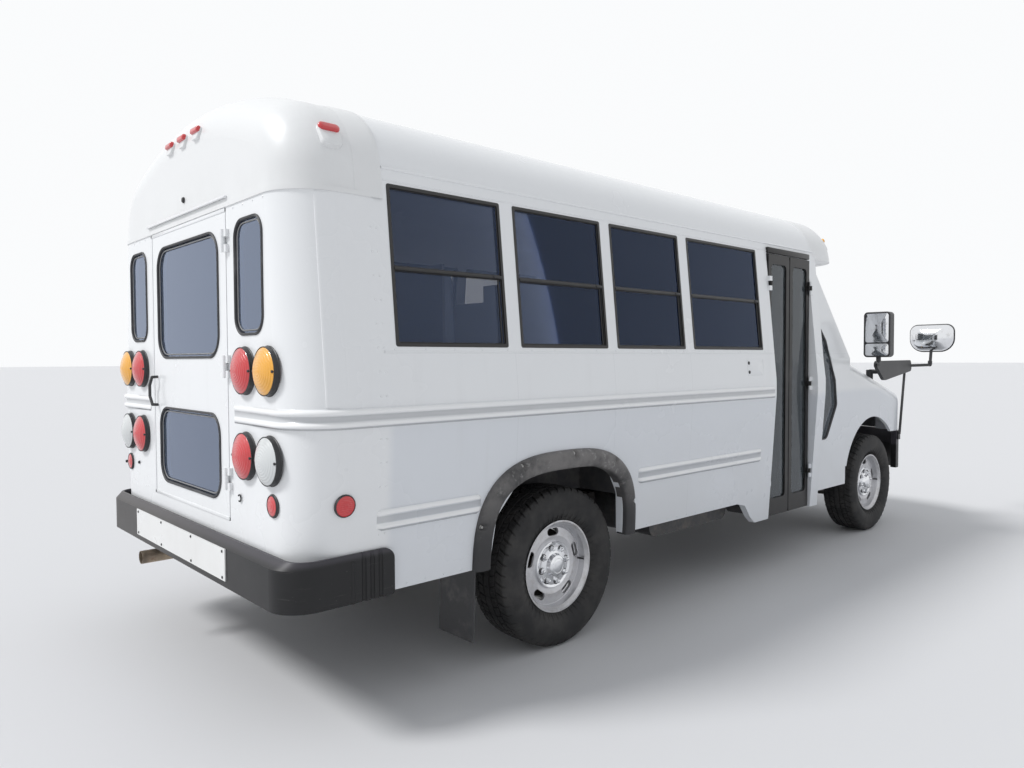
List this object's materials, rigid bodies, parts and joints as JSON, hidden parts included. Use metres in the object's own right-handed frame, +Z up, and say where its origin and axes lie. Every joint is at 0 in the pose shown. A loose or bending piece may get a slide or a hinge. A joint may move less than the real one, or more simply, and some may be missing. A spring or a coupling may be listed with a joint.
{
  "type": "minibus",
  "caption": "Cutaway minibus with a ribbed white school-type body, tinted sash windows, glazed entrance doors, rear emergency door, fender mirrors and a van nose.",
  "frame": {"origin": "on the ground under the middle of the whole bus, mirrors and bumpers included", "axes": "+X forward, +Y to the bus's left, +Z up"},
  "size_m": [6.009, 2.545, 2.505],
  "materials": {
    "frame_black": "satin",
    "cast_metal": "rough",
    "tank_metal": "satin",
    "exhaust_steel": "stained",
    "axle_black": "matt",
    "floor_lining": "matt",
    "body_white": "gloss",
    "cap_white": "gloss",
    "window_frame_dark": "satin",
    "tinted_glass": "tinted",
    "grille_dark": "matt",
    "clear_glass": "clear",
    "bumper_dark": "satin",
    "plate_white": "gloss",
    "mirror_black": "satin",
    "seat_vinyl": "grained vinyl",
    "seat_frame_grey": "satin",
    "dash_grey": "grained",
    "lamp_lenses": "clear coloured",
    "trim_black": "worn",
    "rail_white": "gloss",
    "door_frame_dark": "anodised bronze",
    "tyre": "rubber",
    "rim_silver": "silver paint"
  },
  "bodies": {
    "bus": {"chassis_frame": "frame_black", "engine_block": "cast_metal", "drive_line": "cast_metal", "fuel_tank": "tank_metal", "exhaust": "exhaust_steel", "rear_axle": "axle_black", "front_suspension": "axle_black", "floor": "floor_lining", "side_wall_left": "body_white", "side_wall_right": "body_white", "roof": "body_white", "rear_wall": "body_white", "rear_cap": "cap_white", "front_cap": "cap_white", "window_frames": "window_frame_dark", "window_glass": "tinted_glass", "cab_shell": "body_white", "front_fenders": "body_white", "front_panel": "grille_dark", "windscreen": "clear_glass", "front_bumper": "bumper_dark", "rear_bumper": "bumper_dark", "sign_plate": "plate_white", "mirrors": "mirror_black", "seat_cushions": "seat_vinyl", "seat_frames": "seat_frame_grey", "dashboard": "dash_grey", "lamps": "lamp_lenses", "wheel_trim": "trim_black", "rub_rails": "rail_white"},
    "steer_left": {"knuckle_left": "axle_black"},
    "steer_right": {"knuckle_right": "axle_black"},
    "wheel_front_left": {"tyre_front_left": "tyre", "rim_front_left": "rim_silver"},
    "wheel_front_right": {"tyre_front_right": "tyre", "rim_front_right": "rim_silver"},
    "wheel_rear_left": {"tyre_rear_left": "tyre", "rim_rear_left": "rim_silver"},
    "wheel_rear_right": {"tyre_rear_right": "tyre", "rim_rear_right": "rim_silver"},
    "door_leaf_rear": {"entrance_leaf_rear": "door_frame_dark", "entrance_glass_rear": "clear_glass"},
    "door_leaf_front": {"entrance_leaf_front": "door_frame_dark", "entrance_glass_front": "clear_glass"},
    "emergency_door": {"rear_door": "body_white", "rear_door_glass": "tinted_glass"},
    "cab_door": {"driver_door": "body_white", "driver_door_glass": "clear_glass"},
    "lid": {"hood": "body_white"}
  },
  "joints": [
    {"name": "steer_left_turn", "type": "hinge", "parent": "bus", "child": "steer_left", "pos_m": [2.0025, 0.76, 0.382], "axis": [0, 0, 1], "range_deg": [-30, 30]},
    {"name": "steer_right_turn", "type": "hinge", "parent": "bus", "child": "steer_right", "pos_m": [2.0025, -0.76, 0.382], "axis": [0, 0, 1], "range_deg": [-30, 30]},
    {"name": "front_left_spin", "type": "hinge", "parent": "steer_left", "child": "wheel_front_left", "pos_m": [2.0025, 0.865, 0.382], "axis": [0, 1, 0], "continuous": true},
    {"name": "front_right_spin", "type": "hinge", "parent": "steer_right", "child": "wheel_front_right", "pos_m": [2.0025, -0.865, 0.382], "axis": [0, 1, 0], "continuous": true},
    {"name": "rear_left_spin", "type": "hinge", "parent": "bus", "child": "wheel_rear_left", "pos_m": [-1.5605, 0.865, 0.382], "axis": [0, 1, 0], "continuous": true},
    {"name": "rear_right_spin", "type": "hinge", "parent": "bus", "child": "wheel_rear_right", "pos_m": [-1.5605, -0.865, 0.382], "axis": [0, 1, 0], "continuous": true},
    {"name": "entrance_rear_swing", "type": "hinge", "parent": "bus", "child": "door_leaf_rear", "pos_m": [0.3195, -1.019, 1.2], "axis": [0, 0, -1], "range_deg": [0, 85]},
    {"name": "entrance_front_swing", "type": "hinge", "parent": "bus", "child": "door_leaf_front", "pos_m": [0.8595, -1.019, 1.2], "axis": [0, 0, 1], "range_deg": [0, 85]},
    {"name": "emergency_door_swing", "type": "hinge", "parent": "bus", "child": "emergency_door", "pos_m": [-2.9575, -0.456, 1.35], "axis": [0, 0, 1], "range_deg": [0, 110]},
    {"name": "cab_door_swing", "type": "hinge", "parent": "bus", "child": "cab_door", "pos_m": [1.4975, 0.999, 1], "axis": [0, 0, -1], "range_deg": [0, 65]},
    {"name": "hood_lift", "type": "hinge", "parent": "bus", "child": "lid", "pos_m": [1.7035, 0, 1.372], "axis": [0, -1, 0], "range_deg": [0, 50]}
  ],
  "couplings": [
    {"joint": "steer_right_turn", "follows": "steer_left_turn", "ratio": 1},
    {"joint": "entrance_front_swing", "follows": "entrance_rear_swing", "ratio": 1}
  ]
}
